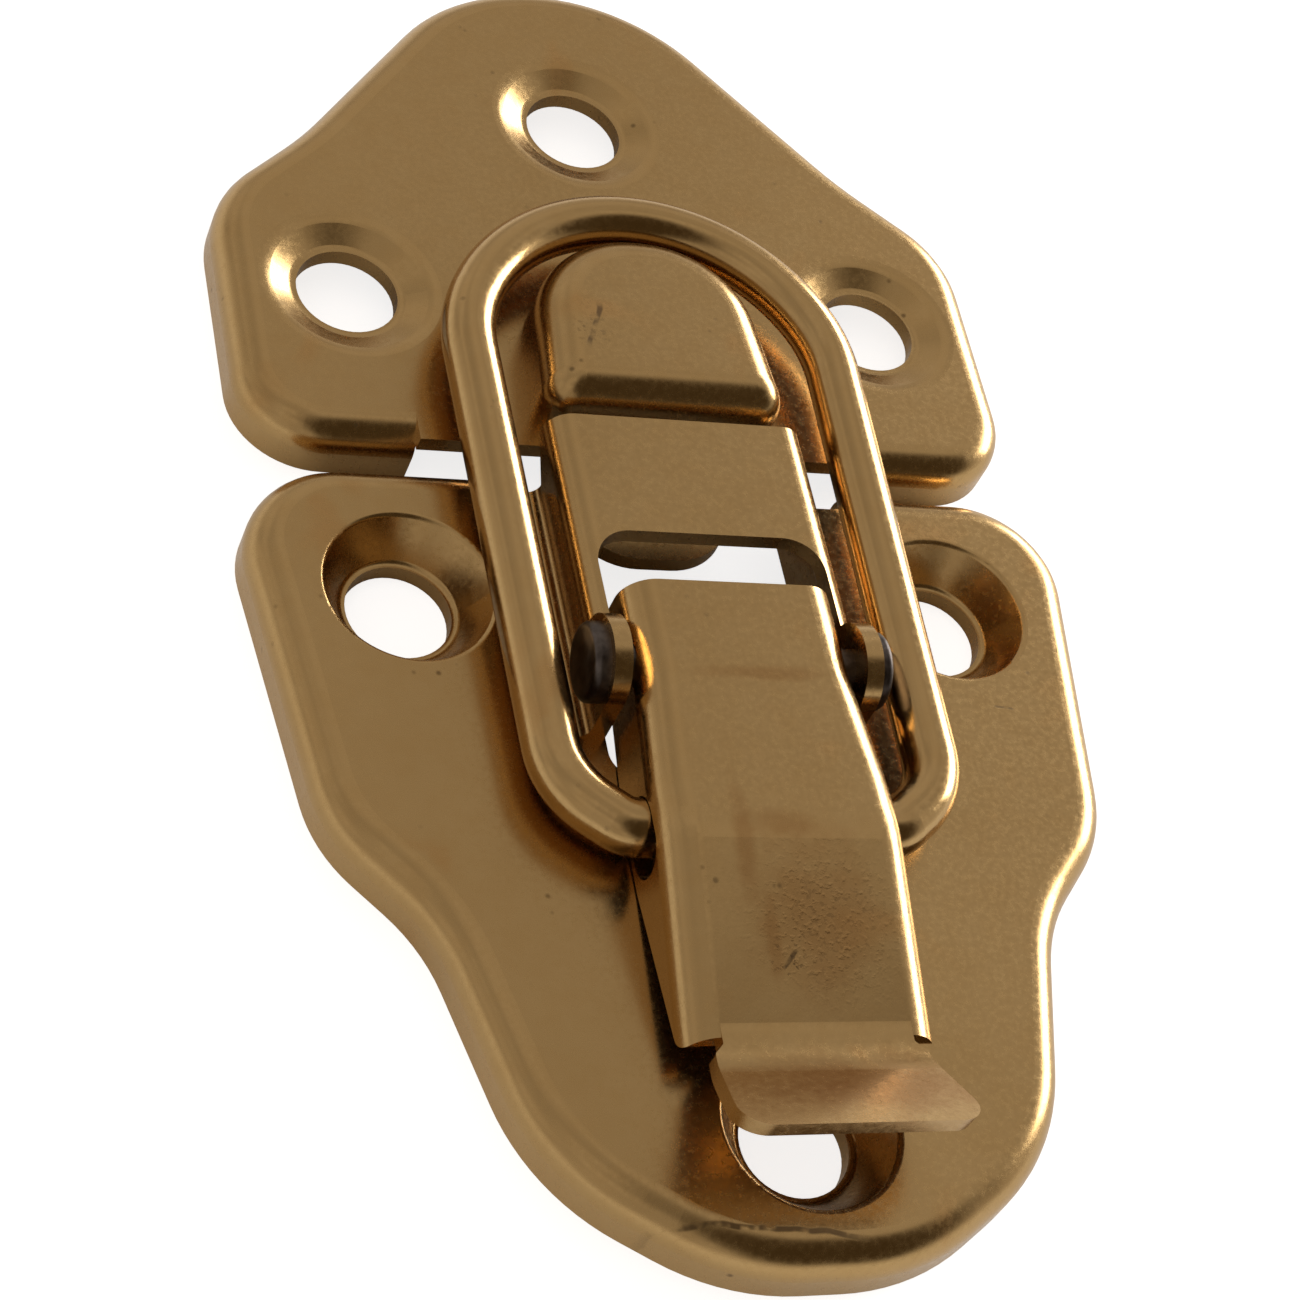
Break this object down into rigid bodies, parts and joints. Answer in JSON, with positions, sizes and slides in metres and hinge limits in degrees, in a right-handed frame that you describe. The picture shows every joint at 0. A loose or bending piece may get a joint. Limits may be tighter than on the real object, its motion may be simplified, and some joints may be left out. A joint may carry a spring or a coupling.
{
  "type": "draw catch",
  "caption": "Sheet-metal draw catch: two screw plates with dished screw holes, a humped lever with a turned-up finger lip, and a wire bail that hooks over a D-shaped nose.",
  "frame": {"origin": "middle of the catch's length and width, on the plane of the surface it is screwed to", "axes": "+Z out of the mounting surface, +Y from the lever's finger lip to the keeper, +X to the right as seen from in front with the keeper up"},
  "size_m": [0.0394, 0.07, 0.0078],
  "materials": {
    "plates": "satin brass plating on pressed steel, lightly worn",
    "lever": "satin brass plating on pressed steel, lightly worn",
    "bail": "brass-plated wire",
    "rivets": "dark oiled steel"
  },
  "bodies": {
    "plates": {"base_plate": "plates", "left_rivet": "rivets", "right_rivet": "rivets", "keeper_plate": "plates"},
    "lever": {"lever": "lever"},
    "bail": {"bail": "bail"}
  },
  "joints": [
    {"name": "lever_pivot", "type": "hinge", "parent": "plates", "child": "lever", "pos_m": [0, -0.00855, 0.00535], "axis": [-1, 0, 0], "range_deg": [0, 110]},
    {"name": "bail_pivot", "type": "hinge", "parent": "lever", "child": "bail", "pos_m": [0, -0.01615, 0.0045], "axis": [1, 0, 0], "range_deg": [0, 100]}
  ],
  "couplings": [
    {"joint": "bail_pivot", "follows": "lever_pivot", "ratio": 0.88}
  ]
}
